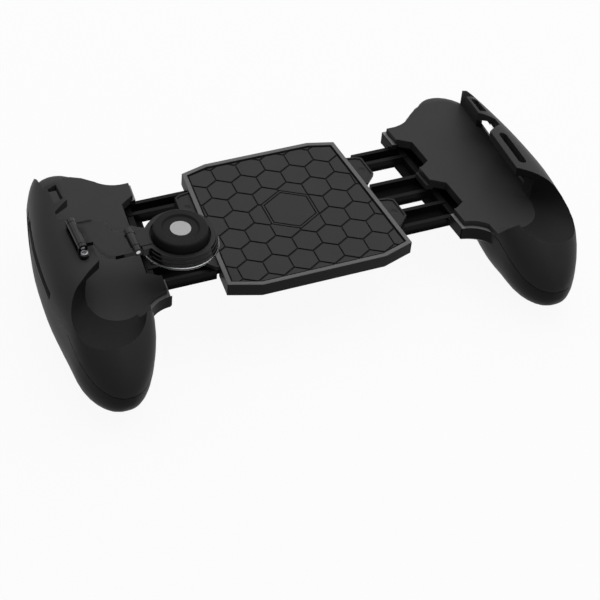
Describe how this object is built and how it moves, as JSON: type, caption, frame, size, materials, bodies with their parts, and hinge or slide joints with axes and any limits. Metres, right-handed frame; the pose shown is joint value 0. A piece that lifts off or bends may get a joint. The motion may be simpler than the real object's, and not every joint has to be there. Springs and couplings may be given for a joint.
{
  "type": "telescopic phone game controller",
  "caption": "Grip for playing on a phone: grips slide out of a centre plate with a hexagon pad and clamp the phone under jaws; a joystick folds over the screen on a hinged arm.",
  "frame": {"origin": "centre of the bounding box in X and Y, at its lowest level: the controller lies on the bellies of its grips, face up", "axes": "+X to the right grip, along the slide; +Y to the upper edge of the grips; +Z out of the front, towards the player"},
  "size_m": [0.1788, 0.0952, 0.0433],
  "materials": {
    "shell": "fine satin texture, moulded",
    "cover": "fine satin texture, moulded",
    "pad": "soft matt, hexagon blocks",
    "rail": "smooth moulded",
    "brake": "matt",
    "screw": "blackened zinc",
    "pin": "ground",
    "hinge": "polished black",
    "smoke": "polished, smoke tinted",
    "clear": "clear soft rim",
    "skirt": "soft matt",
    "collar": "smooth moulded",
    "cap": "fine turned rings",
    "dot": "light grey inlay",
    "stem": "turned",
    "foot": "conductive, matt"
  },
  "bodies": {
    "centre": {"centre_front_cover": "cover", "grip_pad": "pad", "centre_back_cover": "cover", "centre_screws": "screw", "left_brake": "brake", "right_brake": "brake"},
    "left_handle": {"left_front_shell": "shell", "left_back_shell": "shell", "left_slide_frame": "rail", "left_shell_screws": "screw", "left_frame_screws": "screw", "hinge_bracket": "hinge", "bracket_screw": "screw", "arm_pin": "pin"},
    "right_handle": {"right_front_shell": "shell", "right_back_shell": "shell", "right_slide_frame": "rail", "right_shell_screws": "screw", "right_frame_screws": "screw"},
    "arm": {"stick_arm": "smoke", "base_pin": "pin"},
    "stick_mount": {"stick_base": "smoke", "suction_rim": "clear", "stick_skirt": "skirt"},
    "gimbal": {"stick_collar": "collar"},
    "stick": {"stick_cap": "cap", "stick_dot": "dot", "stick_stem": "stem", "stick_foot": "foot"}
  },
  "joints": [
    {"name": "left_slide", "type": "slide", "parent": "centre", "child": "left_handle", "axis": [-1, 0, 0], "range_m": [-0.017, 0.008]},
    {"name": "right_slide", "type": "slide", "parent": "centre", "child": "right_handle", "axis": [1, 0, 0], "range_m": [-0.017, 0.008]},
    {"name": "arm_fold", "type": "hinge", "parent": "left_handle", "child": "arm", "pos_m": [-0.0772, 0, 0.0404], "axis": [0, -1, 0], "range_deg": [-4, 115]},
    {"name": "ring_fold", "type": "hinge", "parent": "arm", "child": "stick_mount", "pos_m": [-0.0614, -0.0083, 0.0404], "axis": [0, -1, 0], "range_deg": [-15, 85]},
    {"name": "stick_tilt_x", "type": "hinge", "parent": "stick_mount", "child": "gimbal", "pos_m": [-0.046, -0.0094, 0.0384], "axis": [1, 0, 0], "range_deg": [-7, 7], "stiffness_Nm_per_rad": 0.03, "deforming": ["stick_skirt"]},
    {"name": "stick_tilt_y", "type": "hinge", "parent": "gimbal", "child": "stick", "pos_m": [-0.046, -0.0094, 0.0384], "axis": [0, 1, 0], "range_deg": [-7, 7], "stiffness_Nm_per_rad": 0.03, "deforming": ["stick_skirt"]}
  ]
}
